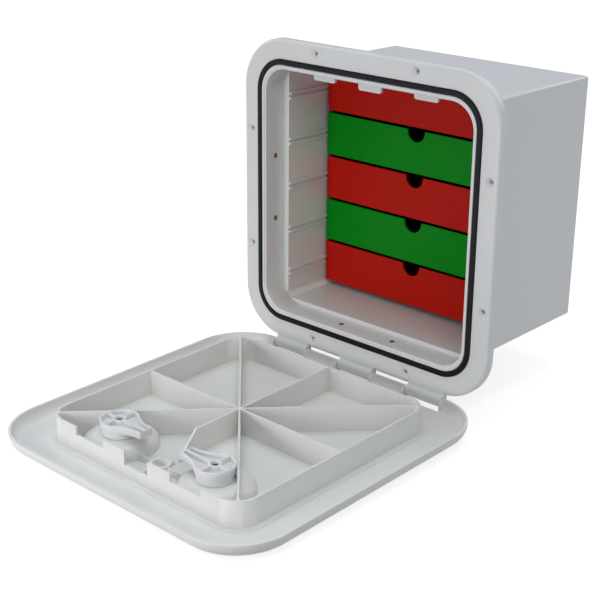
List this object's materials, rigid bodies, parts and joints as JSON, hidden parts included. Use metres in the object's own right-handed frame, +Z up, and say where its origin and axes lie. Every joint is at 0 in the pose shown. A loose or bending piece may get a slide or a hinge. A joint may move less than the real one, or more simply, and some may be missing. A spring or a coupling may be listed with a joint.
{
  "type": "bulkhead storage hatch with drawers",
  "caption": "Square bulkhead hatch with a ribbed, bottom-hinged lid, two turn latches and a deep box behind it that holds stacked drawers.",
  "frame": {"origin": "centre of the flange's screw pattern, on the flange's back face, where it meets the bulkhead", "axes": "+X to the right along the hinge, +Y into the bulkhead, +Z up; the lid is open at rest, a little past a right angle"},
  "size_m": [0.396, 0.6331, 0.4012],
  "materials": {
    "white_plastic": "satin",
    "red_plastic": "satin",
    "green_plastic": "satin",
    "black_rubber": "matte",
    "steel": "brushed"
  },
  "bodies": {
    "root": {"hatch_frame": "white_plastic", "lid_seal": "black_rubber", "storage_box": "white_plastic", "box_screws": "steel", "hinge_pin_left": "steel", "hinge_pin_right": "steel"},
    "lid": {"lid": "white_plastic"},
    "latch_left": {"latch_handle_left": "white_plastic", "latch_seal_left": "black_rubber", "latch_washer_left": "white_plastic", "latch_cam_left": "white_plastic", "latch_screw_left": "steel"},
    "latch_right": {"latch_handle_right": "white_plastic", "latch_seal_right": "black_rubber", "latch_washer_right": "white_plastic", "latch_cam_right": "white_plastic", "latch_screw_right": "steel"},
    "drawer_1": {"drawer_1": "red_plastic"},
    "drawer_2": {"drawer_2": "green_plastic"},
    "drawer_3": {"drawer_3": "red_plastic"},
    "drawer_4": {"drawer_4": "green_plastic"},
    "drawer_5": {"drawer_5": "red_plastic"}
  },
  "joints": [
    {"name": "lid_hinge", "type": "hinge", "parent": "root", "child": "lid", "pos_m": [0, -0.0095, -0.2], "axis": [1, 0, 0], "range_deg": [-90.86, 0]},
    {"name": "latch_turn_left", "type": "hinge", "parent": "lid", "child": "latch_left", "pos_m": [-0.0745, -0.31711, -0.19462], "axis": [0, -0.015, 0.9999], "range_deg": [-90, 0]},
    {"name": "latch_turn_right", "type": "hinge", "parent": "lid", "child": "latch_right", "pos_m": [0.0745, -0.31711, -0.19462], "axis": [0, 0.015, -0.9999], "range_deg": [-90, 0]},
    {"name": "drawer_slide_1", "type": "slide", "parent": "root", "child": "drawer_1", "axis": [0, -1, 0], "range_m": [0, 0.15]},
    {"name": "drawer_slide_2", "type": "slide", "parent": "root", "child": "drawer_2", "axis": [0, -1, 0], "range_m": [0, 0.15]},
    {"name": "drawer_slide_3", "type": "slide", "parent": "root", "child": "drawer_3", "axis": [0, -1, 0], "range_m": [0, 0.15]},
    {"name": "drawer_slide_4", "type": "slide", "parent": "root", "child": "drawer_4", "axis": [0, -1, 0], "range_m": [0, 0.15]},
    {"name": "drawer_slide_5", "type": "slide", "parent": "root", "child": "drawer_5", "axis": [0, -1, 0], "range_m": [0, 0.15]}
  ]
}
